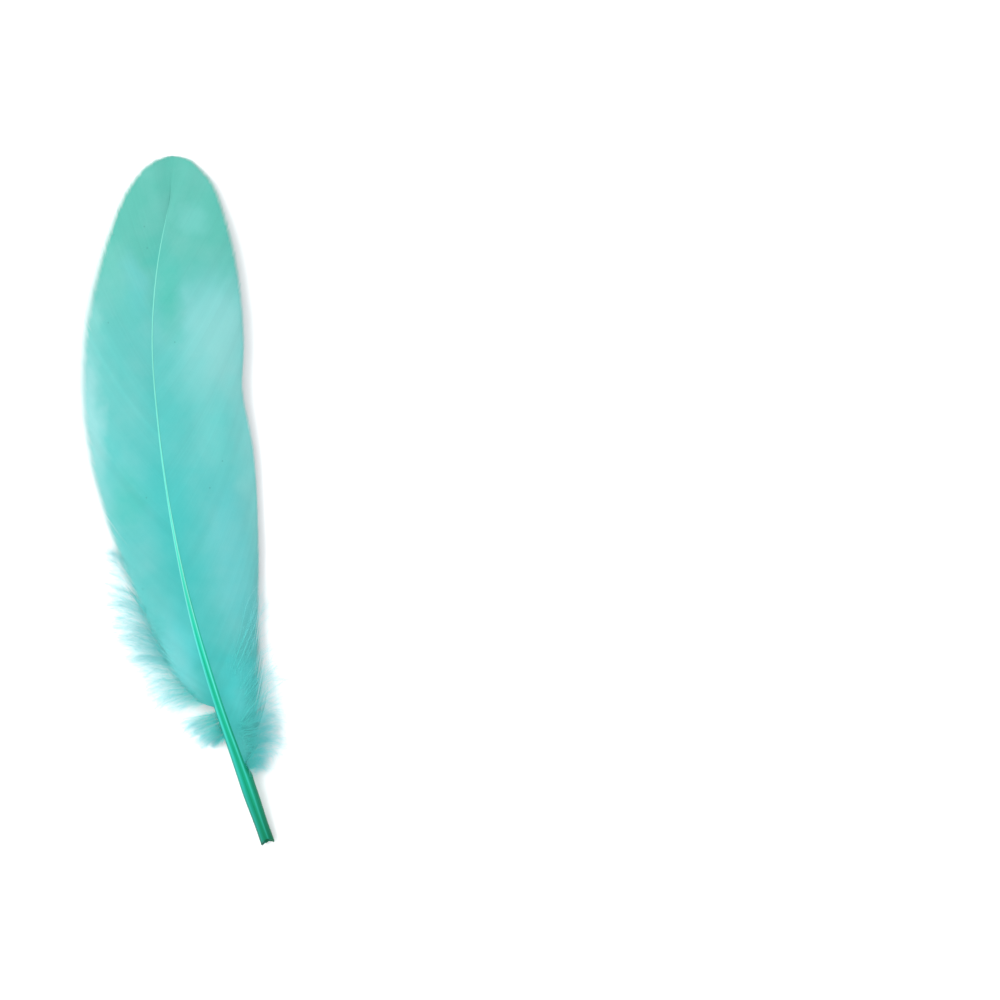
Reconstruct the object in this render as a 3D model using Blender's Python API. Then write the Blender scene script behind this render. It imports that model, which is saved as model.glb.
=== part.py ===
"""Goose quill feather, dyed teal, lying on its underside: back upwards, quill end and tip down.

One grown thing, built as its main forks: the shaft (bare quill and rachis, one tapering tube
with an open cut end), a vane on each side of it, and the downy barbs at the foot of each vane.
Units: metres in Blender; the drawing below is in millimetres, measured from the cut end of the
quill: X sideways, Y along the feather to its tip, Z up from the table.
The origin is at the middle of the feather's footprint, on the table.
"""

import bpy
import numpy as np

MM = 0.001

# Overall size
LENGTH = 175.0  # cut end of the quill to the tip
LEFT_REACH = 34.5  # sideways from the cut end to the outermost down
RIGHT_REACH = 13.5
ARCH = 5.5  # rise of the shaft's middle over the line between its ends
GAP = 0.3  # between neighbouring pieces

# Shaft: the line it bends along (x, y), then its width and depth at stations along Y
SHAFT_LINE = (
    (0.1, 0.0), (-3.75, 19.0), (-8.05, 40.0), (-11.2, 61.0), (-13.1, 86.0),
    (-13.3, 108.0), (-11.9, 131.0), (-8.2, 149.0), (-3.4, 164.0),
)
SHAFT_WIDTH = (
    (0.0, 3.5), (4.0, 3.4), (14.0, 3.8), (18.5, 3.6), (25.0, 3.3), (34.0, 3.0), (48.0, 2.5),
    (59.0, 1.9), (70.0, 1.35), (86.0, 0.95), (115.0, 0.7), (164.0, 0.5),
)
SHAFT_DEPTH = (
    (0.0, 3.3), (30.0, 3.1), (60.0, 2.3), (90.0, 1.7), (120.0, 1.2), (164.0, 0.5),
)
SHAFT_END = 164.0  # where the rachis fades out between the last barbs
SHAFT_SIDES = 24
SHAFT_RINGS = 56
SQUARENESS = 1.2  # added to the round section's exponent along the rachis
BORE_DEPTH = 14.0
BORE_SHARE = 0.7  # of the quill's own width
BORE_RINGS = 5
CUT_SLANT = 0.1  # the cut end's obliqueness, to each side
CUT_SLOPE = 1.25  # how far its upper wall stands back
CUT_HOLLOW = 0.38  # depth of the nick in its lower lip

# Vanes: outer edge (x, y) from foot to tip, where the first and last barbs leave the shaft,
# how fast the roots advance while the edge advances evenly, and the edge's height off the table
TIP = (-1.3, LENGTH)
LAST_ROOT = SHAFT_END
LEFT_EDGE = (
    (-13.6, 38.6), (-19.0, 46.5), (-24.5, 61.0), (-29.4, 81.0), (-32.7, 105.0),
    (-32.1, 121.5), (-27.8, 140.5), (-21.0, 156.0), (-12.4, 169.7), (-8.6, 173.1),
    (-4.8, 174.7), TIP,
)
LEFT_ROOT, LEFT_ADVANCE = 36.0, 1.55
LEFT_LIFT = ((0.0, 3.4), (0.2, 1.8), (0.4, 0.9), (0.7, 1.5), (0.9, 0.8), (1.0, 0.0))
RIGHT_EDGE = (
    (2.0, 26.5), (4.3, 36.0), (4.9, 52.0), (7.7, 76.0), (9.3, 100.0), (8.7, 115.0),
    (10.4, 125.0), (11.3, 138.0), (10.6, 152.5), (9.2, 161.2), (7.7, 166.5), (5.0, 171.0),
    (1.9, 173.9), TIP,
)
RIGHT_ROOT, RIGHT_ADVANCE = 20.5, 1.7
RIGHT_LIFT = ((0.0, 2.6), (0.2, 2.2), (0.42, 2.4), (0.72, 3.7), (0.9, 2.3), (1.0, 0.0))
BARB_BOW = 0.08  # of a barb's length, towards the quill
VANE_THICKNESS = 0.5
VANE_ALONG, VANE_ACROSS = 44, 9
ATTACH = 0.25  # of the shaft's depth above its middle, where the barbs grow

# Down: its outer reach (x, y) from foot to head, the stations of its roots on the shaft,
# and the share of the vane's edge that it fringes
LEFT_DOWN_REACH = (
    (-9.5, 24.5), (-17.0, 24.0), (-27.0, 28.5), (-30.5, 40.0),
    (-33.4, 50.5), (-LEFT_REACH, 62.0), (-34.2, 72.0), (-31.2, 86.0),
)
LEFT_DOWN_ROOTS, LEFT_FRINGE = (26.5, 33.5), 0.32
RIGHT_DOWN_REACH = (
    (1.5, 14.5), (7.0, 18.0), (11.8, 27.0), (RIGHT_REACH, 38.0),
    (13.2, 48.0), (10.8, 60.0), (8.3, 68.0),
)
RIGHT_DOWN_ROOTS, RIGHT_FRINGE = (16.5, 18.5), 0.25
DOWN_THICKNESS, DOWN_TAPER = 2.2, 0.3
ROOT_CLEARANCE = 0.9  # the down's slab leans here, so it stands further off the shaft
FRINGE_CLEARANCE = 0.45
DOWN_ALONG, DOWN_ACROSS = 26, 6


def smooth(knots, at):
    """Cubic curve through (station, value...) knots, its slopes the mean of each knot's sides."""
    knots = np.array(knots, float)
    station, value = knots[:, 0], knots[:, 1:]
    slope = np.gradient(value, station, axis=0)
    at = np.clip(np.asarray(at, float), station[0], station[-1])
    k = np.clip(np.searchsorted(station, at, side="right") - 1, 0, len(station) - 2)
    span = (station[k + 1] - station[k])[..., None]
    t = ((at - station[k]) / span[..., 0])[..., None]
    return (
        value[k] * (1 + 2 * t) * (1 - t) ** 2
        + slope[k] * span * t * (1 - t) ** 2
        + value[k + 1] * t**2 * (3 - 2 * t)
        + slope[k + 1] * span * t**2 * (t - 1)
    )


def along(points, u):
    """Point at the share u, from 0 to 1, of the way along the smooth line through the points."""
    points = np.array(points, float)
    steps = np.linalg.norm(np.diff(points, axis=0), axis=1)
    share = np.concatenate([[0.0], np.cumsum(steps)]) / steps.sum()
    return smooth(np.column_stack([share, points]), u)


def profile(knots, at):
    """Single value read from (station, value) knots."""
    return smooth(knots, at)[..., 0]


def shaft_height(y):
    """Height of the shaft's middle: a shallow arch standing on the quill's end and the tip."""
    y = np.asarray(y, float)
    t = y / LENGTH
    end = profile(SHAFT_DEPTH, 0.0) / 2
    rise = 4 * ARCH * t * (1 - t)
    return end * (1 - t) + VANE_THICKNESS / 2 * t + rise


def shaft_middle(y):
    """Middle of the shaft at stations y, and the unit direction to its left in plan."""
    y = np.asarray(y, float)
    line = np.array(SHAFT_LINE)[:, ::-1]
    x = profile(line, y)
    step = 0.5
    slope = (profile(line, y + step) - profile(line, y - step)) / (2 * step)
    left = np.stack([-np.ones_like(x), slope, np.zeros_like(x)], axis=-1)
    left /= np.linalg.norm(left, axis=-1, keepdims=True)
    return np.stack([x, y, shaft_height(y)], axis=-1), left


def shaft_ring(y, size, trim):
    """Superellipse around the shaft at station y: round on the quill, squarer on the rachis."""
    middle, left = shaft_middle(y)
    turn = np.arange(SHAFT_SIDES) / SHAFT_SIDES * 2 * np.pi
    power = 2 / (2 + SQUARENESS * np.clip((y - 30) / 40, 0, 1))
    across = np.sign(np.cos(turn)) * np.abs(np.cos(turn)) ** power
    up = np.sign(np.sin(turn)) * np.abs(np.sin(turn)) ** power
    half_width = profile(SHAFT_WIDTH, y) / 2 * size
    half_depth = profile(SHAFT_DEPTH, y) / 2 * size
    forward = np.array([left[1], -left[0], 0.0])
    ring = middle - left * (half_width * across)[:, None] + forward * trim(turn)[:, None]
    ring[:, 2] += half_depth * up
    return ring


def cut_end(turn):
    """How far the torn mouth of the quill stands back, round its rim."""
    slope = CUT_SLOPE * np.clip(np.sin(turn), 0, 1) ** 1.3
    nick = CUT_HOLLOW * np.exp(-(((turn - 4.75) / 0.7) ** 2))
    return CUT_SLANT * np.cos(turn) + slope + nick


def squared(turn):
    """No trim: a ring square to the shaft."""
    return np.zeros_like(turn)


def vane_sheet(side, edge, first_root, advance, lift):
    """Middle surface of a vane: each barb a bowed line from the shaft to the edge.

    Plan: a quadratic Bezier from root to edge, its handle pushed towards the quill by BARB_BOW.
    Height: level at the shaft, falling as the square of the way out to the edge's own height.
    """
    u = np.linspace(0, 1, VANE_ALONG)
    v = np.linspace(0, 1, VANE_ACROSS)
    station = first_root + (LAST_ROOT - first_root) * u**advance
    middle, left = shaft_middle(station)
    root = middle + side * left * (profile(SHAFT_WIDTH, station) / 2 + GAP)[:, None]
    root[:, 2] += ATTACH * profile(SHAFT_DEPTH, station)
    end = np.column_stack([along(edge, u), VANE_THICKNESS / 2 + profile(lift, u)])
    end[:, 0] -= side * GAP / 2 * u**8
    chord = end - root
    back = np.column_stack([-side * chord[:, 1], side * chord[:, 0], 0 * u])
    bow = BARB_BOW * (1 - u**6)
    handle = (root + end) / 2 + back * bow[:, None]
    a, b, c = (1 - v) ** 2, 2 * v * (1 - v), v**2
    sheet = root[:, None] * a[:, None] + handle[:, None] * b[:, None] + end[:, None] * c[:, None]
    sheet[..., 2] = root[:, None, 2] * (1 - c) + end[:, None, 2] * c
    return sheet


def down_sheet(side, edge, lift, roots, fringe, reach):
    """Middle surface of a downy tuft: from the shaft and the vane's fringe out to its reach."""
    station = np.array(roots)
    middle, left = shaft_middle(station)
    on_shaft = middle + side * left * (profile(SHAFT_WIDTH, station) / 2 + ROOT_CLEARANCE)[:, None]
    u = np.linspace(0, fringe, DOWN_ALONG - len(station))
    plan = along(edge, u)
    run = np.gradient(plan, axis=0)
    out = np.column_stack([-side * run[:, 1], side * run[:, 0]])
    out /= np.linalg.norm(out, axis=1, keepdims=True)
    height = VANE_THICKNESS / 2 + profile(lift, u)
    fringed = np.column_stack([plan + out * FRINGE_CLEARANCE, height])
    inner = np.concatenate([on_shaft, fringed])
    outer = along(reach, np.linspace(0, 1, DOWN_ALONG))
    outer = np.column_stack([outer, np.full(DOWN_ALONG, DOWN_THICKNESS * DOWN_TAPER / 2)])
    v = np.linspace(0, 1, DOWN_ACROSS)[:, None]
    sheet = inner[:, None] * (1 - v) + outer[:, None] * v
    floor = DOWN_THICKNESS / 2 * (1 - (1 - DOWN_TAPER) * v[:, 0])
    sheet[..., 2] = np.maximum(sheet[..., 2], floor)
    return sheet


def finish(name, color, roughness):
    """Material of one piece."""
    material = bpy.data.materials.new(name)
    material.use_nodes = True
    shader = material.node_tree.nodes["Principled BSDF"]
    shader.inputs["Base Color"].default_value = (*color, 1.0)
    shader.inputs["Roughness"].default_value = roughness
    shader.inputs["Metallic"].default_value = 0.0
    return material


def new_piece(name, points, faces, material):
    """Object with its mesh, moved from the drawing's frame to the footprint's middle."""
    shift = np.array([(LEFT_REACH - RIGHT_REACH) / 2, -LENGTH / 2, 0.0])
    mesh = bpy.data.meshes.new(name)
    mesh.from_pydata(((points + shift) * MM).tolist(), [], faces)
    mesh.materials.append(material)
    mesh.shade_smooth()
    mesh.set_sharp_from_angle(angle=np.radians(40))
    piece = bpy.data.objects.new(name, mesh)
    bpy.context.collection.objects.link(piece)
    piece.parent = feather
    return piece


def grid_faces(rows, columns, flip):
    """Quads between the neighbouring points of a grid, facing up."""
    corner = np.arange(rows * columns).reshape(rows, columns)
    quads = np.stack(
        [corner[:-1, :-1], corner[1:, :-1], corner[1:, 1:], corner[:-1, 1:]], axis=-1
    ).reshape(-1, 4)
    return (quads[:, ::-1] if flip else quads).tolist()


def thickened(name, sheet, side, thickness, taper, material):
    """Sheet given its thickness to both sides, down to the share taper along its outer edge."""
    rows, columns, _ = sheet.shape
    faces = grid_faces(rows, columns, flip=side > 0)
    piece = new_piece(name, sheet.reshape(-1, 3), faces, material)
    group = piece.vertex_groups.new(name="thickness")
    for column in range(columns):
        weight = 1 - (1 - taper) * column / (columns - 1)
        group.add(list(range(column, rows * columns, columns)), weight, "REPLACE")
    solid = piece.modifiers.new("thickness", "SOLIDIFY")
    solid.thickness = thickness * MM
    solid.offset = 0
    solid.vertex_group = group.name
    return piece


def make_shaft():
    """Hollow quill and solid rachis in one skin: up the bore, over the rim, along the outside."""
    bore = np.linspace(1, 0, BORE_RINGS)
    rings = [
        shaft_ring(BORE_DEPTH * t, BORE_SHARE * (1 - 0.6 * t), cut_end if t == 0 else squared)
        for t in bore
    ]
    share = np.linspace(0, 1, SHAFT_RINGS)
    for t in share:
        rings.append(shaft_ring(SHAFT_END * t, 1.0, cut_end if t == 0 else squared))
    count = len(rings)
    start = np.arange(count - 1)[:, None] * SHAFT_SIDES
    near = start + np.arange(SHAFT_SIDES)
    far = start + (np.arange(SHAFT_SIDES) + 1) % SHAFT_SIDES
    walls = np.stack([near, near + SHAFT_SIDES, far + SHAFT_SIDES, far], axis=-1).reshape(-1, 4)
    bore_end = list(range(SHAFT_SIDES))
    tip = [(count - 1) * SHAFT_SIDES + k for k in reversed(range(SHAFT_SIDES))]
    faces = [*walls.tolist(), bore_end, tip]
    horn = finish("quill_horn", (0.05, 0.52, 0.36), 0.35)
    new_piece("shaft", np.concatenate(rings), faces, horn)


def make_vanes():
    """The two sheets of hooked barbs."""
    barbs = finish("vane_barbs", (0.14, 0.62, 0.57), 0.6)
    left = vane_sheet(1, LEFT_EDGE, LEFT_ROOT, LEFT_ADVANCE, LEFT_LIFT)
    thickened("left_vane", left, 1, VANE_THICKNESS, 1.0, barbs)
    right = vane_sheet(-1, RIGHT_EDGE, RIGHT_ROOT, RIGHT_ADVANCE, RIGHT_LIFT)
    thickened("right_vane", right, -1, VANE_THICKNESS, 1.0, barbs)


def make_down():
    """The loose fluff at the foot of each vane."""
    fluff = finish("down_fluff", (0.55, 0.85, 0.86), 0.8)
    left = down_sheet(1, LEFT_EDGE, LEFT_LIFT, LEFT_DOWN_ROOTS, LEFT_FRINGE, LEFT_DOWN_REACH)
    thickened("left_down", left, 1, DOWN_THICKNESS, DOWN_TAPER, fluff)
    right = down_sheet(
        -1, RIGHT_EDGE, RIGHT_LIFT, RIGHT_DOWN_ROOTS, RIGHT_FRINGE, RIGHT_DOWN_REACH
    )
    thickened("right_down", right, -1, DOWN_THICKNESS, DOWN_TAPER, fluff)


for old in list(bpy.data.objects):
    bpy.data.objects.remove(old)
feather = bpy.data.objects.new("feather", None)
bpy.context.collection.objects.link(feather)
make_shaft()
make_vanes()
make_down()
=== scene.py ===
"""Dyed goose quill feather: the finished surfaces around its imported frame.

The feather is put together as it grows: the shaft first, then the hooked barbs of its two vanes,
then the loose down at its foot. Drawing sizes are in millimetres from the cut end of the quill:
X sideways, Y along the feather to its tip, Z up from the table.
"""

import bpy
import numpy as np
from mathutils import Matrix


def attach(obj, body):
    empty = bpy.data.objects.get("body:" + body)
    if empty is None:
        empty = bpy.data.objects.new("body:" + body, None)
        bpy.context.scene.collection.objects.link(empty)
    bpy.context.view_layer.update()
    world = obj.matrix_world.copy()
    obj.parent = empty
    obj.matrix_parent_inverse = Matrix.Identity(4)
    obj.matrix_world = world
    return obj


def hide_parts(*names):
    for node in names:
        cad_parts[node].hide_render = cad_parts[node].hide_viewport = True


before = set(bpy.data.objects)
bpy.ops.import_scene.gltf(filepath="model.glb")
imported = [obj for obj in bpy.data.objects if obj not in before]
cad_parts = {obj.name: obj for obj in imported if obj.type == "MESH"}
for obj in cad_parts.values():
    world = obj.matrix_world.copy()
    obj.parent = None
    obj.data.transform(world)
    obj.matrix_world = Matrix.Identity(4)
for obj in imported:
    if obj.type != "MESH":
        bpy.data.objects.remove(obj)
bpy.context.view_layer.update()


# ---------------------------------------------------------------------------------------------
# The studio: a plain white table top under soft daylight from the left, and a long lens
# straight above it, turned so that the feather leans a little to the left.

# The view's width and middle are in metres, its lens and sensor in millimetres.
VIEW_WIDTH = 0.2522
LENS = 150.0
SENSOR = 36.0
LENS_HEIGHT = VIEW_WIDTH * LENS / SENSOR
VIEW_MIDDLE = (0.0797, -0.0093)
VIEW_TURN = -7.45

camera_data = bpy.data.cameras.new("camera")
camera_data.lens = LENS
camera_data.sensor_width = SENSOR
camera = bpy.data.objects.new("camera", camera_data)
camera.location = (*VIEW_MIDDLE, LENS_HEIGHT)
camera.rotation_euler = (0.0, 0.0, np.radians(VIEW_TURN))
bpy.context.collection.objects.link(camera)
bpy.context.scene.camera = camera
bpy.context.scene.view_settings.view_transform = "Standard"


def soft_light(name, place, size, power, colour):
    """Square area light at place, in metres, turned to face the feather."""
    data = bpy.data.lights.new(name, "AREA")
    data.size = size
    data.energy = power
    data.color = colour
    light = bpy.data.objects.new(name, data)
    light.location = place
    gaze = -light.location.normalized()
    light.rotation_euler = gaze.to_track_quat("-Z", "Y").to_euler()
    bpy.context.collection.objects.link(light)


soft_light("window_light", (-0.85, 0.3, 1.1), 0.9, 13.5, (1.0, 0.99, 0.97))

world = bpy.data.worlds.new("pale_room")
world.use_nodes = True
room = world.node_tree.nodes["Background"]
room.inputs["Color"].default_value = (0.96, 0.98, 1.0, 1.0)
room.inputs["Strength"].default_value = 1.25
bpy.context.scene.world = world

TABLE_HALF = 1.5
table_mesh = bpy.data.meshes.new("table_top")
table_mesh.from_pydata(
    [
        (-TABLE_HALF, -TABLE_HALF, 0.0),
        (TABLE_HALF, -TABLE_HALF, 0.0),
        (TABLE_HALF, TABLE_HALF, 0.0),
        (-TABLE_HALF, TABLE_HALF, 0.0),
    ],
    [],
    [(0, 1, 2, 3)],
)
table = bpy.data.objects.new("table_top", table_mesh)
bpy.context.collection.objects.link(table)
table_paint = bpy.data.materials.new("white_table")
table_paint.use_nodes = True
paint = table_paint.node_tree.nodes["Principled BSDF"]
paint.inputs["Base Color"].default_value = (0.94, 0.94, 0.94, 1.0)
paint.inputs["Roughness"].default_value = 0.9
paint.inputs["Specular IOR Level"].default_value = 0.0
table_mesh.materials.append(table_paint)


# ---------------------------------------------------------------------------------------------
# Shaft: one tube of keratin horn, the bare hollow quill running on into the rachis. It is round
# and glassy at the quill, squarer and chalky higher up, with a shallow furrow along its back,
# and its end was snipped off, which left a slightly flared, torn mouth.

MM = 0.001
QUILL_END = np.array([10.5, -87.5, 0.0])
LENGTH = 175.0
ARCH = 5.5
SHAFT_END = 165.5
SHAFT_LINE = (
    (0.1, 0.0), (-3.75, 19.0), (-8.05, 40.0), (-11.2, 61.0), (-13.1, 86.0),
    (-13.3, 108.0), (-11.9, 131.0), (-8.2, 149.0), (-3.4, 164.0),
)
SHAFT_WIDTH = (
    (0.0, 3.5), (4.0, 3.4), (14.0, 3.8), (18.5, 3.6), (25.0, 3.3), (34.0, 3.0), (48.0, 2.5),
    (59.0, 1.95), (70.0, 1.35), (86.0, 0.85), (115.0, 0.5), (150.0, 0.3), (164.0, 0.14),
)
SHAFT_DEPTH = (
    (0.0, 3.3), (30.0, 3.1), (60.0, 2.3), (90.0, 1.7), (120.0, 1.2), (150.0, 0.6), (164.0, 0.22),
)
SHAFT_SIDES = 56
SHAFT_RINGS = 260
BORE_DEPTH = 10.0
CUT_SLOPE = 1.25
CUT_HOLLOW, HOLLOW_TURN = 0.38, 4.75
SCAR_AT, SCAR_HEIGHT = 17.9, 0.2
FURROW_DEPTH = 0.13  # of the shaft's width


def smooth(knots, at):
    """Cubic curve through (station, value...) knots, its slopes the mean of each knot's sides."""
    knots = np.array(knots, float)
    station, value = knots[:, 0], knots[:, 1:]
    slope = np.gradient(value, station, axis=0)
    at = np.clip(np.asarray(at, float), station[0], station[-1])
    k = np.clip(np.searchsorted(station, at, side="right") - 1, 0, len(station) - 2)
    span = (station[k + 1] - station[k])[..., None]
    t = ((at - station[k]) / span[..., 0])[..., None]
    return (
        value[k] * (1 + 2 * t) * (1 - t) ** 2
        + slope[k] * span * t * (1 - t) ** 2
        + value[k + 1] * t**2 * (3 - 2 * t)
        + slope[k + 1] * span * t**2 * (t - 1)
    )


def profile(knots, at):
    """Single value read from (station, value) knots."""
    return smooth(knots, at)[..., 0]


def shaft_middle(y):
    """Middle of the shaft at stations y, and the unit direction to its left in plan.

    Sideways it follows SHAFT_LINE; its height is a parabola that stands on the quill and the tip.
    """
    line = np.array(SHAFT_LINE)[:, ::-1]
    x = profile(line, y)
    slope = profile(line, y + 0.5) - profile(line, y - 0.5)
    t = y / LENGTH
    height = SHAFT_DEPTH[0][1] / 2 * (1 - t) + 0.25 * t + 4 * ARCH * t * (1 - t)
    left = np.stack([-np.ones_like(x), slope, np.zeros_like(x)], axis=-1)
    left /= np.linalg.norm(left, axis=-1, keepdims=True)
    return np.stack([x, y, height], axis=-1), left


def new_piece(name, points, faces, material, caps):
    """Smooth-shaded object at the origin whose points move from the drawing into the frame.

    The last faces in its list, as many as caps, close its ends and stay flat. Its UV map is the
    plan of the feather, laid into one unit square.
    """
    mesh = bpy.data.meshes.new(name)
    placed = (points + QUILL_END) * MM
    mesh.from_pydata(placed.tolist(), [], faces)
    mesh.polygons.foreach_set("use_smooth", np.arange(len(faces)) < len(faces) - caps)
    corner = np.empty(len(mesh.loops), np.int32)
    mesh.loops.foreach_get("vertex_index", corner)
    plan = mesh.uv_layers.new(name="OFBake")
    low, high = placed[:, :2].min(axis=0), placed[:, :2].max(axis=0)
    spread = (placed[:, :2] - low) / (high - low).max()
    plan.data.foreach_set("uv", spread[corner].astype(np.float32).ravel())
    mesh.materials.append(material)
    piece = bpy.data.objects.new(name, mesh)
    bpy.context.collection.objects.link(piece)
    return piece


def paint_points(piece, name, values):
    """One number for each point of a piece, which its material can read."""
    field = piece.data.attributes.new(name, "FLOAT", "POINT")
    field.data.foreach_set("value", np.asarray(values, np.float32).ravel())


def shaft_section(y, turn, size):
    """Section of the shaft at stations y, as sideways and upward distances from its middle.

    A superellipse that grows squarer up the rachis, less a furrow along its back with a thin
    ridge on its right. A small scar juts out on the right side where the vane begins.
    """
    squareness = 2 / (2 + 0.9 * np.clip((y - 30) / 40, 0, 1))
    across = np.sign(np.cos(turn)) * np.abs(np.cos(turn)) ** squareness
    up = np.sign(np.sin(turn)) * np.abs(np.sin(turn)) ** squareness
    scar = SCAR_HEIGHT * np.exp(-(((y - SCAR_AT) / np.where(y > SCAR_AT, 0.3, 2.0)) ** 2))
    scar = scar * np.clip(across, 0, 1) ** 2
    sideways = profile(SHAFT_WIDTH, y) / 2 * size * across + scar
    rise = profile(SHAFT_DEPTH, y) / 2 * size * up
    deep = FURROW_DEPTH * profile(SHAFT_WIDTH, y)
    deep = deep * np.clip(y / 9, 0, 1) * np.clip((100 - y) / 45, 0, 1)
    dip = np.exp(-(((across + 0.1) / 0.3) ** 2)) - 0.45 * np.exp(-(((across - 0.36) / 0.11) ** 2))
    return sideways, rise - deep * dip * np.clip(up, 0, 1) * size


def torn_mouth(turn):
    """How far the rim of the quill stands back from the cut, round the rim.

    The cut slopes, so its upper half stands back; the lip below is hollowed between two corners.
    """
    slope = CUT_SLOPE * np.clip(np.sin(turn), 0, 1) ** 1.3
    hollow = CUT_HOLLOW * np.exp(-(((turn - HOLLOW_TURN) / 0.7) ** 2))
    shreds = 0.07 * np.sin(5 * turn + 1) + 0.05 * np.sin(9 * turn + 2) + 0.03 * np.sin(17 * turn)
    return 0.1 * np.cos(turn) + slope + hollow + shreds


def shaft_skin():
    """Points, faces, stations and turns of the tube.

    Its rings start at the blind end of the bore, come out over the torn rim and follow the
    outside to the tip, where they close up.
    """
    turn = np.arange(SHAFT_SIDES) / SHAFT_SIDES * 2 * np.pi
    bore_y = np.linspace(BORE_DEPTH, 0.0, 12)
    bore_size = 0.84 * np.clip((BORE_DEPTH + 0.6 - bore_y) / 3, 0.12, 1) ** 0.5
    skin_y = np.concatenate([[0.0, 0.25, 0.6, 1.0], np.linspace(1.6, SHAFT_END, SHAFT_RINGS)])
    y = np.concatenate([bore_y, skin_y])[:, None] + 0 * turn
    size = np.concatenate([bore_size, [0.93], np.ones(len(skin_y) - 1)])[:, None]
    size = size * np.clip((SHAFT_END + 0.4 - y) / 3, 0.05, 1) ** 0.5
    back = torn_mouth(turn) * np.exp(-y / 0.9)
    middle, left = shaft_middle(y)
    sideways, rise = shaft_section(y, turn, size)
    forward = np.stack([left[..., 1], -left[..., 0], left[..., 2]], axis=-1)
    points = middle - left * sideways[..., None] + forward * back[..., None]
    points[..., 2] += rise
    rings = len(y)
    near = np.arange(rings - 1)[:, None] * SHAFT_SIDES + np.arange(SHAFT_SIDES)
    far = np.arange(rings - 1)[:, None] * SHAFT_SIDES + (np.arange(SHAFT_SIDES) + 1) % SHAFT_SIDES
    walls = np.stack([near, near + SHAFT_SIDES, far + SHAFT_SIDES, far], axis=-1).reshape(-1, 4)
    blind_end = np.arange(SHAFT_SIDES)
    tip = (rings - 1) * SHAFT_SIDES + blind_end[::-1]
    faces = [*walls.tolist(), blind_end.tolist(), tip.tolist()]
    return points.reshape(-1, 3), faces, y, turn + 0 * y


def new_material(name):
    """Material, its node tree and its Principled shader, ready for its nodes."""
    material = bpy.data.materials.new(name)
    material.use_nodes = True
    return material, material.node_tree, material.node_tree.nodes["Principled BSDF"]


def add_node(tree, kind, **settings):
    """Node of a kind in a tree. Settings that name its properties set them, others its inputs."""
    node = tree.nodes.new(kind)
    for key, value in settings.items():
        if key in node.bl_rna.properties:
            setattr(node, key, value)
        else:
            node.inputs[key.replace("_", " ")].default_value = value
    return node


def colour_ramp(tree, value, stops):
    """Colour read off the given (position, colour) stops at a value."""
    node = tree.nodes.new("ShaderNodeValToRGB")
    ramp = node.color_ramp
    while len(ramp.elements) < len(stops):
        ramp.elements.new(0.5)
    for element, (position, colour) in zip(ramp.elements, stops):
        element.position = position
        element.color = (*colour, 1.0)
    tree.links.new(value, node.inputs["Fac"])
    return node.outputs["Color"]


def remap(tree, value, source, target, course="LINEAR"):
    """Value carried from the source pair of numbers to the target pair, straight or in an S."""
    node = add_node(tree, "ShaderNodeMapRange", interpolation_type=course)
    for label, number in zip(("From Min", "From Max", "To Min", "To Max"), (*source, *target)):
        node.inputs[label].default_value = number
    tree.links.new(value, node.inputs["Value"])
    return node.outputs["Result"]


def lay_over(tree, share, below, above, way="MIX"):
    """Colour above laid over the one below by a share. Each is a socket or a plain value."""
    node = add_node(tree, "ShaderNodeMix", data_type="RGBA", blend_type=way)
    for label, value in (("Factor", share), ("A", below), ("B", above)):
        if isinstance(value, bpy.types.NodeSocket):
            tree.links.new(value, node.inputs[label])
        else:
            node.inputs[label].default_value = value
    return node.outputs["Result"]


# Colours by the share of the way from the quill's cut end to the tip, then factors on them by the
# share of the way across the shaft from left to right, which are painted highlights and painted
# shade, and by the noise of the streaks.
HORN_DYE = (
    (0.0, (0.002, 0.19, 0.105)), (0.1, (0.005, 0.34, 0.22)), (0.2, (0.011, 0.43, 0.3)),
    (0.32, (0.024, 0.53, 0.4)), (0.5, (0.1, 0.6, 0.49)), (0.75, (0.14, 0.57, 0.47)),
    (0.9, (0.16, 0.6, 0.5)), (1.0, (0.2, 0.66, 0.55)),
)
# Painted highlights on the left shoulder and on the ridge beside the furrow; painted shade in the
# furrow and down the right side, away from the window light.
HORN_SHEEN_AND_SHADE = (
    (0.05, (1.2, 0.62, 0.7)), (0.17, (4.5, 1.08, 1.38)), (0.3, (1.6, 0.97, 1.0)),
    (0.42, (0.3, 0.76, 0.6)), (0.56, (0.6, 0.84, 0.74)), (0.66, (6.0, 1.25, 1.5)),
    (0.74, (0.7, 0.8, 0.7)), (0.95, (0.4, 0.6, 0.5)),
)
HORN_STREAKS = ((0.3, (0.72, 0.78, 0.76)), (0.7, (1.12, 1.08, 1.1)))
# Stations over which the painted highlights and shade fade to a quarter, up the rachis.
SHEEN_AND_SHADE_FADES = (0.3, 0.55)
HORN_ROUGHNESS = (0.24, 0.42)


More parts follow.
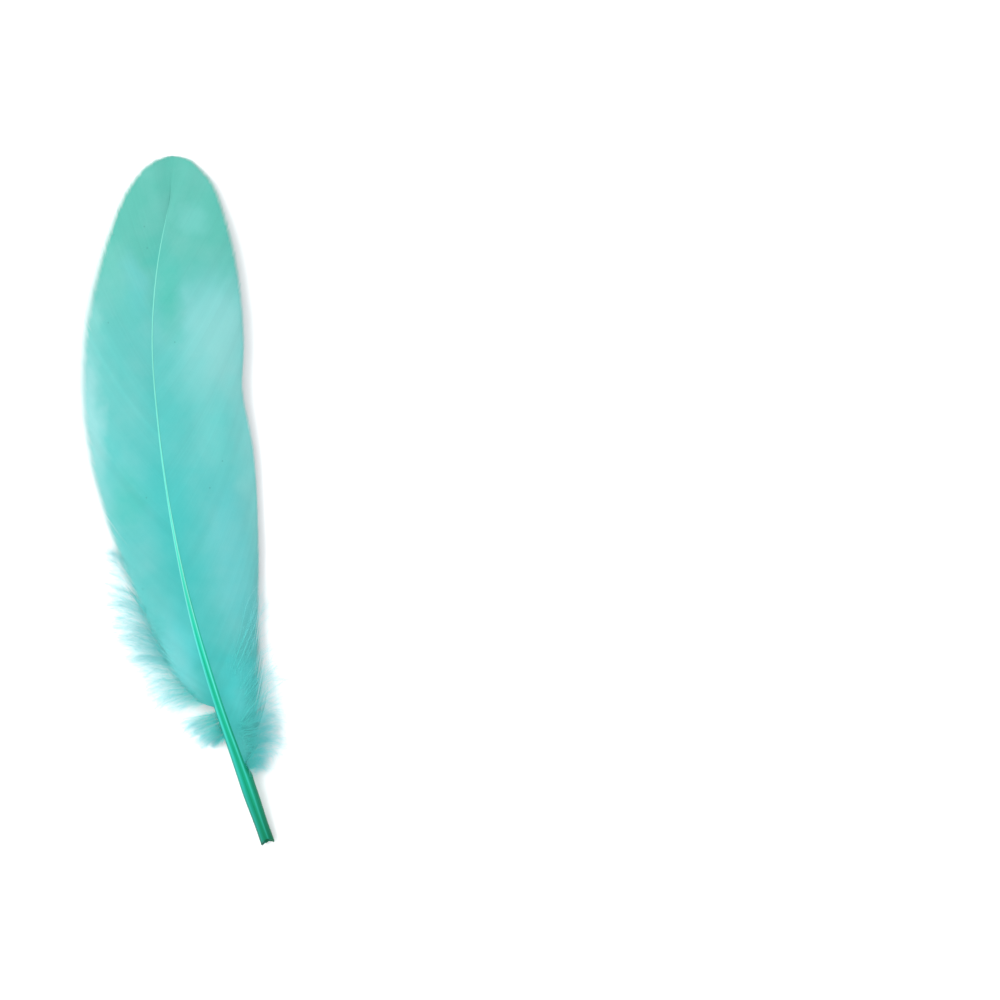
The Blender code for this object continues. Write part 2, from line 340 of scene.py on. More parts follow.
def horn_material():
    """Dyed horn: deep green glassy quill, fading up the rachis to pale mint, with long streaks.

    Painted highlights light its left shoulder and the ridge, and painted shade darkens the furrow and
    its right side, less so up the rachis.
    """
    material, tree, shader = new_material("dyed_horn_with_painted_light")
    link = tree.links.new
    station = add_node(tree, "ShaderNodeAttribute", attribute_name="station").outputs["Fac"]
    around = add_node(tree, "ShaderNodeAttribute", attribute_name="around").outputs["Fac"]
    place = tree.nodes.new("ShaderNodeCombineXYZ")
    link(around, place.inputs["X"])
    link(station, place.inputs["Y"])
    stretch = add_node(tree, "ShaderNodeMapping", Scale=(9.0, 9.0, 1.0))
    link(place.outputs["Vector"], stretch.inputs["Vector"])
    noise = add_node(tree, "ShaderNodeTexNoise", Scale=1.0, Detail=4.0, Roughness=0.6)
    link(stretch.outputs["Vector"], noise.inputs["Vector"])
    streaks = noise.outputs["Fac"]
    dyed = colour_ramp(tree, station, HORN_DYE)
    fade = remap(tree, station, SHEEN_AND_SHADE_FADES, (1.0, 0.25))
    # Painted highlights and painted shade across the shaft, strongest at the quill.
    lit_and_shaded = lay_over(tree, fade, dyed, colour_ramp(tree, around, HORN_SHEEN_AND_SHADE), "MULTIPLY")
    streaked = lay_over(tree, 1.0, lit_and_shaded, colour_ramp(tree, streaks, HORN_STREAKS), "MULTIPLY")
    link(streaked, shader.inputs["Base Color"])
    shader.inputs["Specular IOR Level"].default_value = 0.1
    link(remap(tree, streaks, (0.0, 1.0), HORN_ROUGHNESS), shader.inputs["Roughness"])
    bump = add_node(tree, "ShaderNodeBump", Strength=0.25, Distance=0.0001)
    link(streaks, bump.inputs["Height"])
    link(bump.outputs["Normal"], shader.inputs["Normal"])
    return material


horn = horn_material()
shaft_points, shaft_faces, shaft_y, shaft_turn = shaft_skin()
shaft = new_piece("shaft_horn", shaft_points, shaft_faces, horn, 2)
paint_points(shaft, "station", shaft_y / SHAFT_END)
paint_points(shaft, "around", 0.5 + 0.5 * np.cos(shaft_turn))
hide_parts("shaft")
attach(shaft, "root")


# ---------------------------------------------------------------------------------------------
# Vanes: on each side several hundred flat barbs grow out of the shaft at a slant and hook into
# one silky sheet. Each barb is a closed sliver with a low rib, lapping the next one, and its
# last few millimetres thin out to a hair, which makes the rim of the vane soft and pale.

TIP = (-1.3, LENGTH)
LAST_ROOT = 164.5
ATTACH = ((0.0, 0.35), (110.0, 0.38), (150.0, 0.36), (164.0, 0.4))
BARB_BOW = 0.08
BARB_POINTS = 22

# In each vane, edge is the rim's plan from foot to tip. The pairs start with a share of the way
# along the vane: lift is the rim's height, soft is how much of a barb thins to a hair, and
# ragged is how unevenly the barbs end. A split is (place along the vane, how far out it starts,
# gap), and advance crowds the roots towards the foot.
LEFT_VANE = {
    "side": 1,
    "edge": (
        (-13.6, 38.6), (-19.0, 46.5), (-24.5, 61.0), (-29.4, 81.0), (-32.7, 105.0),
        (-32.1, 121.5), (-27.8, 140.5), (-21.0, 156.0), (-12.4, 169.7), (-8.6, 173.1),
        (-4.8, 174.7), TIP,
    ),
    "lift": ((0.0, 3.4), (0.2, 1.8), (0.4, 0.9), (0.7, 1.5), (0.9, 0.8), (1.0, 0.0)),
    "first_root": 36.0,
    "advance": 1.55,
    "barbs": 560,
    "soft": ((0.0, 0.3), (0.2, 0.28), (0.45, 0.2), (0.8, 0.14), (1.0, 0.06)),
    "ragged": ((0.0, 0.25), (0.12, 0.16), (0.25, 0.08), (0.4, 0.02), (0.6, 0.006), (1.0, 0.006)),
    "splits": ((0.17, 0.5, 0.25), (0.36, 0.45, 0.2)),
    "seed": 3,
}
RIGHT_VANE = {
    "side": -1,
    "edge": (
        (2.0, 26.5), (4.3, 36.0), (4.9, 52.0), (7.7, 76.0), (9.3, 100.0), (8.7, 115.0),
        (10.4, 125.0), (11.3, 138.0), (10.6, 152.5), (9.2, 161.2), (7.7, 166.5), (5.0, 171.0),
        (1.9, 173.9), TIP,
    ),
    "lift": ((0.0, 2.6), (0.2, 2.2), (0.42, 2.4), (0.72, 3.7), (0.9, 2.3), (1.0, 0.0)),
    "first_root": 20.5,
    "advance": 1.7,
    "barbs": 620,
    "soft": ((0.0, 0.5), (0.1, 0.4), (0.2, 0.2), (0.35, 0.08), (0.8, 0.06), (1.0, 0.06)),
    "ragged": ((0.0, 0.3), (0.08, 0.24), (0.17, 0.12), (0.28, 0.02), (0.6, 0.006), (1.0, 0.006)),
    "splits": ((0.22, 0.35, 0.25),),
    "seed": 8,
}


def along(points, u):
    """Point at the share u, from 0 to 1, of the way along the smooth line through the points."""
    points = np.array(points, float)
    steps = np.linalg.norm(np.diff(points, axis=0), axis=1)
    share = np.concatenate([[0.0], np.cumsum(steps)]) / steps.sum()
    return smooth(np.column_stack([share, points]), u)


def smoothstep(low, high, x):
    """0 below low, 1 above high, an even S between."""
    t = np.clip((x - low) / (high - low), 0, 1)
    return t * t * (3 - 2 * t)


def vane_point(vane, u, v):
    """Point of a vane at the share u along it and v out from the shaft.

    Plan: a quadratic Bezier from the barb's root to the rim, its handle pushed to the quill.
    Height: level at the shaft, falling as the square of v to the rim, with slow waves outwards.
    """
    side = vane["side"]
    u = np.clip(u, 0, 1)
    station = vane["first_root"] + (LAST_ROOT - vane["first_root"]) * u ** vane["advance"]
    middle, left = shaft_middle(station)
    inset = 0.3 * (1 - smoothstep(120, 155, station))
    root = middle + side * left * (profile(SHAFT_WIDTH, station) * inset)[..., None]
    root[..., 2] += profile(ATTACH, station) * profile(SHAFT_DEPTH, station)
    rim = along(vane["edge"], u)
    chord = rim - root[..., :2]
    back = np.stack([-side * chord[..., 1], side * chord[..., 0]], axis=-1)
    bow = (BARB_BOW * (1 - u**6))[..., None]
    handle = (root[..., :2] + rim) / 2 + back * bow
    w = v[..., None]
    plan = root[..., :2] * (1 - w) ** 2 + handle * 2 * w * (1 - w) + rim * w**2
    waves = 0.16 * np.sin(23 * u + 1) + 0.1 * np.sin(51 * u + 4 * v) + 0.06 * np.sin(97 * u + 2)
    height = root[..., 2] * (1 - v**2) + (0.35 + profile(vane["lift"], u) + waves) * v**2
    return np.concatenate([plan, np.maximum(height, 0.12)[..., None]], axis=-1)


def barbs(vane):
    """Points, faces, distance out and tone of all the barbs of a vane.

    Each ring across a barb is a lozenge: its two rims lie on the vane at u less and plus a bit
    more than half the pitch, its rib stands above and a deeper one below. Near a split the
    barbs lean away from it, more the further out.
    """
    rng = np.random.default_rng(vane["seed"])
    count = vane["barbs"]
    pitch = 1 / count
    u = (np.arange(count) + 0.5) * pitch
    ragged = np.maximum(profile(vane["ragged"], u), 0.005)
    reach = 1.02 + rng.uniform(-2.2, 1, count) * ragged
    v = np.concatenate([[0.0, 0.012], np.linspace(0.05, 1, BARB_POINTS - 2)])
    v = v[None, :] * reach[:, None]
    lean = np.zeros_like(v)
    for place, start, gap in vane["splits"]:
        off = u - place
        push = np.sign(off) * np.exp(-np.abs(off) / 0.02) * gap / LENGTH
        lean += push[:, None] * smoothstep(start, 1.1, v)
    soft = np.maximum(profile(vane["soft"], u), 0.05)[:, None]
    soft = soft * (1 + rng.normal(0, 0.12, (count, 1)))
    width = 1 - 0.93 * smoothstep(0, 1, (v / reach[:, None] - 1 + soft) / soft)
    half = 0.58 * pitch * width
    side = vane["side"]
    left = vane_point(vane, u[:, None] + lean - side * half, v)
    right = vane_point(vane, u[:, None] + lean + side * half, v)
    spine = (left + right) / 2
    left[..., 2] += 0.006
    right[..., 2] -= 0.006
    rib = 0.022 * (1 - 0.4 * v) * width + 0.006
    above = spine + np.array([0, 0, 1.0]) * rib[..., None]
    below = spine - np.array([0, 0, 1.0]) * (4 * rib)[..., None]
    points = np.stack([left, above, right, below], axis=2)
    patches = rng.normal(0, 1, 70)
    tone = np.interp(u, np.linspace(0, 1, 70), patches) + rng.normal(0, 0.6, count)
    faces = ring_faces(count, BARB_POINTS, 4)
    out = np.broadcast_to(v[..., None], points.shape[:3])
    tones = np.broadcast_to(tone[:, None, None], points.shape[:3])
    return points.reshape(-1, 3), faces, out, tones


def crease_rims(mesh):
    """Keep the two rims of every barb sharp, so that its top is shaded like one flat ribbon."""
    ends = np.empty(2 * len(mesh.edges), np.int32)
    mesh.edges.foreach_get("vertices", ends)
    corner = ends.reshape(-1, 2) % 4
    on_rim = (corner[:, 0] == corner[:, 1]) & (corner[:, 0] % 2 == 0)
    mesh.edges.foreach_set("use_edge_sharp", on_rim)


def ring_faces(count, rings, sides):
    """Quads and end caps of many tubes at once, each of some rings of some sides."""
    tube = np.arange(count)[:, None, None] * rings * sides
    near = tube + np.arange(rings - 1)[:, None] * sides + np.arange(sides)
    far = tube + np.arange(rings - 1)[:, None] * sides + (np.arange(sides) + 1) % sides
    walls = np.stack([near, far, far + sides, near + sides], axis=-1).reshape(-1, 4)
    start = tube[:, 0] + np.arange(sides)[::-1]
    end = tube[:, 0] + (rings - 1) * sides + np.arange(sides)
    return [*walls.tolist(), *start.tolist(), *end.tolist()]


# Colours by the share of the way from the quill's cut end to the tip. A patch is (middle, half
# sizes across and along, colour).
DYE_ALONG = (
    (0.15, (0.055, 0.415, 0.391)), (0.35, (0.086, 0.461, 0.446)), (0.55, (0.094, 0.478, 0.461)),
    (0.75, (0.102, 0.47, 0.439)), (0.86, (0.094, 0.446, 0.376)), (1.0, (0.094, 0.439, 0.36)),
)
PALE_DYE = (0.27, 0.56, 0.545, 1.0)
# Painted shade beside the lower shaft, where the vane dips: it takes most of the red away.
SHAFT_SIDE_SHADE = (0.35, 0.96, 0.94, 1.0)
DIRT = (0.04, 0.17, 0.16, 1.0)
SPECK_CELLS = 250.0  # to the metre, of which this share stay clean
CLEAN_CELLS = 0.97
DYE_PATCHES = (
    ((1.0, 127.0), (10.0, 18.0), (0.165, 0.53, 0.51)),
    ((5.0, 127.0), (8.5, 17.0), (0.21, 0.55, 0.53)),
    ((-30.5, 114.0), (4.0, 22.0), (0.235, 0.55, 0.545)),
    ((-14.5, 143.0), (3.5, 10.0), (0.1, 0.48, 0.45)),
    ((-7.0, 142.0), (4.5, 13.0), (0.07, 0.45, 0.38)),
    ((-26.5, 137.0), (3.0, 5.0), (0.15, 0.5, 0.46)),
    ((1.5, 158.5), (4.5, 4.5), (0.13, 0.49, 0.43)),
    ((-23.0, 90.0), (5.0, 9.0), (0.07, 0.46, 0.42)),
    ((9.5, 98.0), (4.5, 30.0), (0.155, 0.57, 0.55)),
    ((1.0, 72.0), (7.0, 24.0), (0.115, 0.51, 0.51)),
    ((-15.5, 50.0), (5.5, 14.0), (0.125, 0.52, 0.525)),
    ((1.0, 104.0), (6.0, 14.0), (0.125, 0.53, 0.505)),
    ((-1.5, 40.0), (5.0, 11.0), (0.065, 0.51, 0.5)),
)


def dye_tree(name):
    """Node group for a dye, with the nodes for its inputs and its output.

    Inputs are a point's distance out from the shaft and its barb's own tone; the output is a
    colour.
    """
    group = bpy.data.node_groups.new(name, "ShaderNodeTree")
    group.interface.new_socket(name="Out", in_out="INPUT", socket_type="NodeSocketFloat")
    group.interface.new_socket(name="Tone", in_out="INPUT", socket_type="NodeSocketFloat")
    group.interface.new_socket(name="Colour", in_out="OUTPUT", socket_type="NodeSocketColor")
    return group, group.nodes.new("NodeGroupInput"), group.nodes.new("NodeGroupOutput")


def toned(group, colour, tone, spread):
    """Colour times 1 plus spread times the barb's own tone."""
    level = add_node(group, "ShaderNodeMath", operation="MULTIPLY_ADD")
    level.inputs[1].default_value = spread
    level.inputs[2].default_value = 1.0
    group.links.new(tone, level.inputs[0])
    shade = add_node(group, "ShaderNodeVectorMath", operation="SCALE")
    group.links.new(colour, shade.inputs[0])
    group.links.new(level.outputs["Value"], shade.inputs["Scale"])
    return shade.outputs["Vector"]


def patched(group, spot, colour):
    """Colour with the broad patches laid over it, one after another.

    A patch fades out by the distance from its middle, in its own half sizes. The place is first
    moved up to 3.5 mm any way by a noise, so that no patch has an even outline.
    """
    link = group.links.new
    flow = add_node(group, "ShaderNodeTexNoise", Scale=160.0, Detail=2.0)
    link(spot, flow.inputs["Vector"])
    drift = add_node(group, "ShaderNodeVectorMath", operation="MULTIPLY_ADD")
    drift.inputs[1].default_value = (0.007, 0.007, 0.0)
    drift.inputs[2].default_value = (-0.0035, -0.0035, 0.0)
    link(flow.outputs["Color"], drift.inputs[0])
    wander = add_node(group, "ShaderNodeVectorMath", operation="ADD")
    link(spot, wander.inputs[0])
    link(drift.outputs["Vector"], wander.inputs[1])
    for middle, spread, dye in DYE_PATCHES:
        near = add_node(group, "ShaderNodeVectorMath", operation="SUBTRACT")
        near.inputs[1].default_value = (*(np.array(middle) + QUILL_END[:2]) * MM, 0.0)
        link(wander.outputs["Vector"], near.inputs[0])
        scaled = add_node(group, "ShaderNodeVectorMath", operation="MULTIPLY")
        scaled.inputs[1].default_value = (1000 / spread[0], 1000 / spread[1], 0.0)
        link(near.outputs["Vector"], scaled.inputs[0])
        far = add_node(group, "ShaderNodeVectorMath", operation="LENGTH")
        link(scaled.outputs["Vector"], far.inputs[0])
        mask = remap(group, far.outputs["Value"], (1.3, 0.2), (0.0, 1.0), "SMOOTHSTEP")
        colour = lay_over(group, mask, colour, (*dye, 1.0))
    return colour


def speckled(group, spot, colour):
    """Colour with specks of dirt: small dots at the middles of a few cells of a random mosaic."""
    link = group.links.new
    mosaic = add_node(group, "ShaderNodeTexVoronoi", voronoi_dimensions="2D", Scale=SPECK_CELLS)
    link(spot, mosaic.inputs["Vector"])
    chance = group.nodes.new("ShaderNodeSeparateColor")
    link(mosaic.outputs["Color"], chance.inputs["Color"])
    picked = add_node(group, "ShaderNodeMath", operation="GREATER_THAN")
    picked.inputs[1].default_value = CLEAN_CELLS
    link(chance.outputs["Red"], picked.inputs[0])
    dot = remap(group, mosaic.outputs["Distance"], (0.055, 0.03), (0.0, 0.45))
    speck = add_node(group, "ShaderNodeMath", operation="MULTIPLY")
    link(picked.outputs["Value"], speck.inputs[0])
    link(dot, speck.inputs[1])
    return lay_over(group, speck.outputs["Value"], colour, DIRT)


def dye_and_shade_group():
    """Dye of both vanes: its colour along the feather, its patches, and a cloudy mottle.

    It is paler towards the rims, except near the tip, and painted shade makes it darker and a deeper
    teal beside the lower shaft.
    """
    group, given, result = dye_tree("uneven_dye_and_shade")
    link = group.links.new
    out = given.outputs["Out"]
    spot = group.nodes.new("ShaderNodeTexCoord").outputs["Object"]
    split = group.nodes.new("ShaderNodeSeparateXYZ")
    link(spot, split.inputs["Vector"])
    ends = (QUILL_END[1] * MM, (QUILL_END[1] + LENGTH) * MM)
    share = remap(group, split.outputs["Y"], ends, (0.0, 1.0))
    shown = patched(group, spot, colour_ramp(group, share, DYE_ALONG))
    cloud = add_node(group, "ShaderNodeTexNoise", Scale=110.0, Detail=4.0, Roughness=0.55)
    link(spot, cloud.inputs["Vector"])
    fade = add_node(group, "ShaderNodeMath", operation="MULTIPLY_ADD")
    link(remap(group, out, (0.55, 1.0), (0.0, 0.3), "SMOOTHSTEP"), fade.inputs[0])
    link(remap(group, share, (0.88, 0.68), (0.0, 1.0), "SMOOTHSTEP"), fade.inputs[1])
    link(remap(group, cloud.outputs["Fac"], (0.4, 0.7), (0.0, 0.18)), fade.inputs[2])
    shown = lay_over(group, fade.outputs["Value"], shown, PALE_DYE)
    # Painted shade: darker, deeper teal beside the lower shaft, fading out by the middle of the
    # feather.
    shaft_shade = add_node(group, "ShaderNodeMath", operation="MULTIPLY")
    link(remap(group, out, (0.4, 0.0), (0.0, 0.65), "SMOOTHSTEP"), shaft_shade.inputs[0])
    link(remap(group, share, (0.75, 0.5), (0.0, 1.0), "SMOOTHSTEP"), shaft_shade.inputs[1])
    shown = lay_over(group, shaft_shade.outputs["Value"], shown, SHAFT_SIDE_SHADE, "MULTIPLY")
    shown = toned(group, shown, given.outputs["Tone"], 0.016)
    link(speckled(group, spot, shown), result.inputs["Colour"])
    return group


def thin_keratin(name, roughness, glow, group):
    """Thin dyed keratin: a satin surface through which part of the light passes.

    The group works out the colour from the distance out and the tone of the piece's own points.
    """
    material, tree, shader = new_material(name)
    link = tree.links.new
    out = add_node(tree, "ShaderNodeAttribute", attribute_name="out")
    tone = add_node(tree, "ShaderNodeAttribute", attribute_name="tone")
    dye = tree.nodes.new("ShaderNodeGroup")
    dye.node_tree = group
    link(out.outputs["Fac"], dye.inputs["Out"])
    link(tone.outputs["Fac"], dye.inputs["Tone"])
    link(dye.outputs["Colour"], shader.inputs["Base Color"])
    shader.inputs["Specular IOR Level"].default_value = 0.25
    shader.inputs["Sheen Weight"].default_value = 0.05
    spot = tree.nodes.new("ShaderNodeTexCoord")
    fuzz = add_node(tree, "ShaderNodeTexNoise", Scale=5000.0, Detail=2.0)
    link(spot.outputs["Object"], fuzz.inputs["Vector"])
    rough = remap(tree, fuzz.outputs["Fac"], (0.0, 1.0), (roughness - 0.1, roughness + 0.15))
    link(rough, shader.inputs["Roughness"])
    bump = add_node(tree, "ShaderNodeBump", Strength=0.3, Distance=0.00005)
    link(fuzz.outputs["Fac"], bump.inputs["Height"])
    link(bump.outputs["Normal"], shader.inputs["Normal"])
    through = tree.nodes.new("ShaderNodeBsdfTranslucent")
    link(dye.outputs["Colour"], through.inputs["Color"])
    blend = tree.nodes.new("ShaderNodeMixShader")
    blend.inputs["Fac"].default_value = glow
    link(shader.outputs["BSDF"], blend.inputs[1])
    link(through.outputs["BSDF"], blend.inputs[2])
    surface = tree.nodes["Material Output"]
    link(blend.outputs["Shader"], surface.inputs["Surface"])
    return material


vane_barbs = thin_keratin("dyed_barbs", 0.55, 0.25, dye_and_shade_group())
for name, vane in (("left_vane", LEFT_VANE), ("right_vane", RIGHT_VANE)):
    vane_points, vane_faces, vane_out, vane_tone = barbs(vane)
    sheet = new_piece(name + "_barbs", vane_points, vane_faces, vane_barbs, 2 * vane["barbs"])
    crease_rims(sheet.data)
    paint_points(sheet, "out", vane_out)
    paint_points(sheet, "tone", vane_tone)
    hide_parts(name)
    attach(sheet, "root")


# ---------------------------------------------------------------------------------------------
# Down: at the foot of each vane the barbs have no hooks. Each is a soft thread with hundreds of
# hair-thin barbules down both sides, which drift apart, curl outwards and clump into wisps.

# In each tuft, roots are the stations of its threads on the shaft; waist and reach are the lines
# in plan, from foot to head, that the threads pass and end at. even spreads the roots (above 1
# crowds them to the foot), shorter is how much of its reach the shortest thread lacks, bind
# draws threads into their clump, and curl and wave bend them. crest steers the height half way,
# at the foot and at the head, and float is the tips' range of height. bare is the share of a
# thread without barbules, hair is the barbules' range of length, and fullness thickens them at
# the foot and at the head.
DOWN = {
    "left_down_fringe": {
        "replaces": "left_down",
        "side": 1,
        "roots": (37.0, 50.0),
        "waist": ((-13.2, 38.0), (-15.5, 40.0), (-17.8, 43.2), (-20.0, 48.8), (-21.8, 55.0)),
        "reach": (
            (-23.5, 33.0), (-27.0, 36.5), (-30.5, 42.5), (-33.0, 48.5), (-34.1, 55.0),
            (-34.2, 61.0),
        ),
        "bare": 0.1,
        "even": 0.9,
        "shorter": 0.6,
        "bind": 0.3,
        "curl": 0.25,
        "wave": 0.8,
        "crest": (5.2, 3.4),
        "float": (0.0, 1.8),
        "threads": 110,
        "clumps": 15,
        "barbules": 125,
        "hair": (1.4, 4.4),
        "fullness": (0.8, 1.25),
        "seed": 21,
    },
    "left_down_wisps": {
        "replaces": "left_down",
        "side": 1,
        "roots": (47.0, 60.0),
        "waist": ((-21.0, 53.0), (-23.4, 60.0), (-25.6, 68.0), (-27.4, 76.0)),
        "reach": ((-34.0, 57.0), (-34.3, 63.0), (-33.8, 70.5), (-31.4, 79.0)),
        "bare": 0.2,
        "even": 1.1,
        "shorter": 0.6,
        "bind": 0.2,
        "curl": 0.3,
        "wave": 0.8,
        "crest": (3.6, 2.8),
        "float": (0.0, 1.6),
        "threads": 68,
        "clumps": 12,
        "barbules": 110,
        "hair": (1.8, 4.8),
        "fullness": (1.3, 0.8),
        "seed": 4,
    },
    "left_down_tuft": {
        "replaces": "left_down",
        "side": 1,
        "roots": (28.5, 34.8),
        "waist": ((-8.6, 27.2), (-10.4, 28.2), (-12.0, 30.4), (-13.0, 33.8)),
        "reach": ((-10.5, 25.8), (-14.5, 25.6), (-19.0, 27.6), (-21.5, 32.4)),
        "bare": 0.0,
        "even": 1.0,
        "shorter": 0.8,
        "bind": 0.2,
        "curl": 0.15,
        "wave": 0.6,
        "crest": (2.4, 3.2),
        "float": (0.0, 1.4),
        "threads": 70,
        "clumps": 9,
        "barbules": 110,
        "hair": (0.8, 2.6),
        "fullness": (1.0, 1.0),
        "seed": 5,
    },
    "right_down_tuft": {
        "replaces": "right_down",
        "side": -1,
        "roots": (19.0, 31.0),
        "waist": ((-2.4, 20.2), (-0.6, 22.6), (1.6, 26.0), (2.8, 31.0)),
        "reach": ((-0.5, 17.0), (3.5, 17.4), (8.0, 22.0), (9.0, 33.0)),
        "bare": 0.0,
        "even": 1.0,
        "shorter": 0.85,
        "bind": 0.2,
        "curl": 0.4,
        "wave": 1.2,
        "crest": (6.0, 7.0),
        "float": (0.3, 3.0),
        "threads": 72,
        "clumps": 9,
        "barbules": 120,
        "hair": (0.9, 3.2),
        "fullness": (1.0, 1.0),
        "seed": 13,
    },
    "right_down_fringe": {
        "replaces": "right_down",
        "side": -1,
        "roots": (18.5, 40.0),
        "waist": ((-1.8, 20.5), (0.3, 24.5), (2.2, 30.0), (3.4, 38.0), (4.2, 48.0), (5.0, 58.0)),
        "reach": (
            (3.0, 17.5), (6.5, 20.5), (10.5, 27.5), (12.2, 38.0),
            (11.8, 49.0), (9.6, 60.0), (7.2, 69.0),
        ),
        "bare": 0.1,
        "even": 1.3,
        "shorter": 0.85,
        "bind": 0.3,
        "curl": 0.35,
        "wave": 1.2,
        "crest": (6.0, 6.5),
        "float": (0.2, 3.2),
        "threads": 100,
        "clumps": 15,
        "barbules": 130,
        "hair": (1.2, 4.2),
        "fullness": (1.0, 0.6),
        "seed": 34,
    },
}
THREAD_POINTS = 14
THREAD_RADIUS = 0.025
BARBULE_POINTS = 3
BARBULE_RADIUS = (0.0065, 0.003)


def tubes(paths, radii, sides):
    """Points and faces of tubes along many paths at once: a ring square to the path at each point."""
    ahead = np.gradient(paths, axis=1)
    ahead /= np.linalg.norm(ahead, axis=-1, keepdims=True) + 1e-9
    right = np.cross(ahead, np.array([0.0, 0.0, 1.0]) + 0 * ahead)
    right /= np.linalg.norm(right, axis=-1, keepdims=True) + 1e-9
    up = np.cross(right, ahead)
    turn = -np.arange(sides) / sides * 2 * np.pi
    ring = np.cos(turn)[:, None] * right[:, :, None] + np.sin(turn)[:, None] * up[:, :, None]
    points = paths[:, :, None] + radii[:, :, None, None] * ring
    return points.reshape(-1, 3), ring_faces(len(paths), paths.shape[1], sides)


def down_threads(tuft, rng):
    """Paths of a tuft's threads, from the shaft past the tuft's waist to its reach.

    A cubic Bezier: it sets out for the waist like a vane's barb, then leans over outwards to a
    tip some share of the way to the reach, and sways from side to side more and more. Threads
    of one clump lean together. Its height is another curve, from the shaft over or under the
    vane's rim to near the table.
    """
    count = tuft["threads"]
    side = tuft["side"]
    share = np.sort(rng.uniform(0, 1, count)) ** tuft["even"]
    clump = (np.floor(share * tuft["clumps"]) + 0.5) / tuft["clumps"]
    aim = np.clip(share + (clump - share) * tuft["bind"] + rng.normal(0, 0.035, count), 0, 1)
    station = tuft["roots"][0] + (tuft["roots"][1] - tuft["roots"][0]) * share
    root, left = shaft_middle(station)
    root = root + side * left * (profile(SHAFT_WIDTH, station) * 0.3)[:, None]
    start = root[:, :2]
    waist = along(tuft["waist"], aim)
    beyond = along(tuft["reach"], aim) - waist
    beyond *= 1 - tuft["shorter"] * rng.beta(1.2, 1.4, (count, 1))
    over = np.column_stack([-side * beyond[:, 1], side * beyond[:, 0]])
    curl = tuft["curl"] * rng.normal(1, 0.7, (count, 1))
    first = start + 0.8 * (waist - start)
    second = waist + 0.5 * beyond - curl * over
    t = np.linspace(0, 1, THREAD_POINTS)[None, :, None]
    plan = (
        start[:, None] * (1 - t) ** 3
        + first[:, None] * 3 * t * (1 - t) ** 2
        + second[:, None] * 3 * t**2 * (1 - t)
        + (waist + beyond)[:, None] * t**3
    )
    sway = tuft["wave"] * rng.normal(0, 1, (count, 1, 1)) * t**1.5
    sway = sway * np.sin(t * rng.uniform(3, 8, (count, 1, 1)) + rng.uniform(0, 6.3, (count, 1, 1)))
    plan = plan + sway * (over / np.linalg.norm(over, axis=1, keepdims=True))[:, None]
    t = t[..., 0]
    rest = rng.uniform(*tuft["float"], (count, 1)) + 0.3
    crest = np.interp(share, (0, 1), tuft["crest"])[:, None] + rng.normal(0, 1.0, (count, 1))
    height = root[:, 2:] * (1 - t) ** 2 + 2 * crest * t * (1 - t) + rest * t**2
    return np.concatenate([plan, height[..., None]], axis=-1)


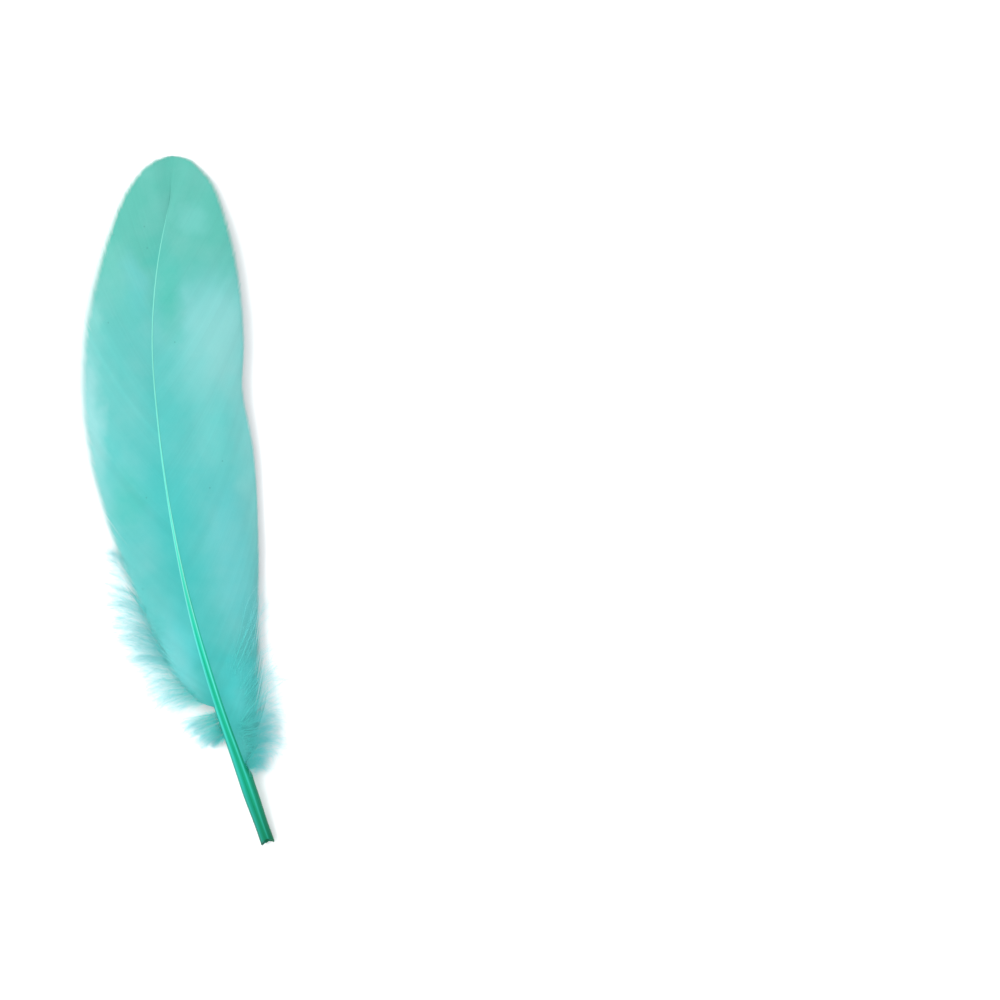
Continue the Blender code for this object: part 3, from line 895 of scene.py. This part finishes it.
def down_barbules(tuft, threads, rng):
    """Paths of the barbules: each leaves its thread at a slant, any way round, and bends on."""
    count, rings, _ = threads.shape
    each = tuft["barbules"]
    t = tuft["bare"] + (1 - tuft["bare"]) * rng.uniform(0, 1, (count, each)) ** 1.15
    place = t * (rings - 1)
    low = np.clip(place.astype(int), 0, rings - 2)
    part = (place - low)[..., None]
    row = np.arange(count)[:, None]
    base = threads[row, low] * (1 - part) + threads[row, low + 1] * part
    ahead = threads[row, low + 1] - threads[row, low]
    ahead /= np.linalg.norm(ahead, axis=-1, keepdims=True)
    right = np.cross(ahead, np.array([0.0, 0.0, 1.0]) + 0 * ahead)
    right /= np.linalg.norm(right, axis=-1, keepdims=True)
    up = np.cross(right, ahead)
    turn = rng.choice([0.0, np.pi], (count, each)) + rng.normal(0, 0.55, (count, each))
    slant = rng.uniform(0.1, 0.85, (count, each))
    aside = np.cos(turn)[..., None] * right + np.sin(turn)[..., None] * up
    first = np.cos(slant)[..., None] * ahead + np.sin(slant)[..., None] * aside
    later = first + ahead * 0.5 + rng.normal(0, 0.3, first.shape)
    later /= np.linalg.norm(later, axis=-1, keepdims=True)
    size = rng.uniform(*tuft["hair"], (count, each)) * (1.1 - 0.5 * t)
    s = np.linspace(0, 1, BARBULE_POINTS)[None, None, :, None]
    paths = base[:, :, None] + size[..., None, None] * (
        first[:, :, None] * (s - s**2 / 2) + later[:, :, None] * s**2 / 2
    )
    paths[..., 2] = np.maximum(paths[..., 2], 0.06)
    return paths.reshape(-1, BARBULE_POINTS, 3), t.ravel()


WASHED_DYE = (
    (0.0, (0.13, 0.86, 0.81)), (0.35, (0.22, 0.88, 0.86)), (0.55, (0.3, 0.88, 0.89)),
    (0.75, (0.52, 0.92, 0.94)), (1.0, (0.76, 0.96, 0.97)),
)


def fluff_group():
    """Dye of the down: teal near the shaft, washing out to almost white at the tips."""
    group, given, result = dye_tree("washed_dye")
    wash = colour_ramp(group, given.outputs["Out"], WASHED_DYE)
    shade = toned(group, wash, given.outputs["Tone"], 0.05)
    group.links.new(shade, result.inputs["Colour"])
    return group


fluff = thin_keratin("dyed_down", 0.7, 0.4, fluff_group())
for name, tuft in DOWN.items():
    rng = np.random.default_rng(tuft["seed"])
    threads = down_threads(tuft, rng)
    taper = THREAD_RADIUS * (1 - 0.8 * np.linspace(0, 1, THREAD_POINTS)) + 0 * threads[..., 0]
    thread_points, thread_faces = tubes(threads, taper, 4)
    stems = new_piece(name + "_threads", thread_points, thread_faces, fluff, 2 * len(threads))
    shares = np.linspace(0, 1, THREAD_POINTS)[:, None] + np.zeros((len(threads), 1, 4))
    paint_points(stems, "out", shares)
    paint_points(stems, "tone", rng.normal(0, 1, (len(threads), 1, 1)) + 0 * shares)
    hairs, hair_t = down_barbules(tuft, threads, rng)
    share = np.repeat(np.linspace(0, 1, len(threads)), tuft["barbules"])
    full = np.interp(share, (0, 1), tuft["fullness"]) * (1.4 - 0.7 * hair_t)
    fine = np.linspace(*BARBULE_RADIUS, BARBULE_POINTS) * full[:, None]
    hair_points, hair_faces = tubes(hairs, fine, 3)
    hair = new_piece(name + "_barbules", hair_points, hair_faces, fluff, 2 * len(hairs))
    spread = np.linspace(0, 0.25, BARBULE_POINTS)[:, None] + np.zeros((len(hairs), 1, 3))
    paint_points(hair, "out", hair_t[:, None, None] * 0.8 + spread)
    paint_points(hair, "tone", rng.normal(0, 1, (len(hairs), 1, 1)) + 0 * spread)
    for piece in (stems, hair):
        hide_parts(tuft["replaces"])
        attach(piece, "root")
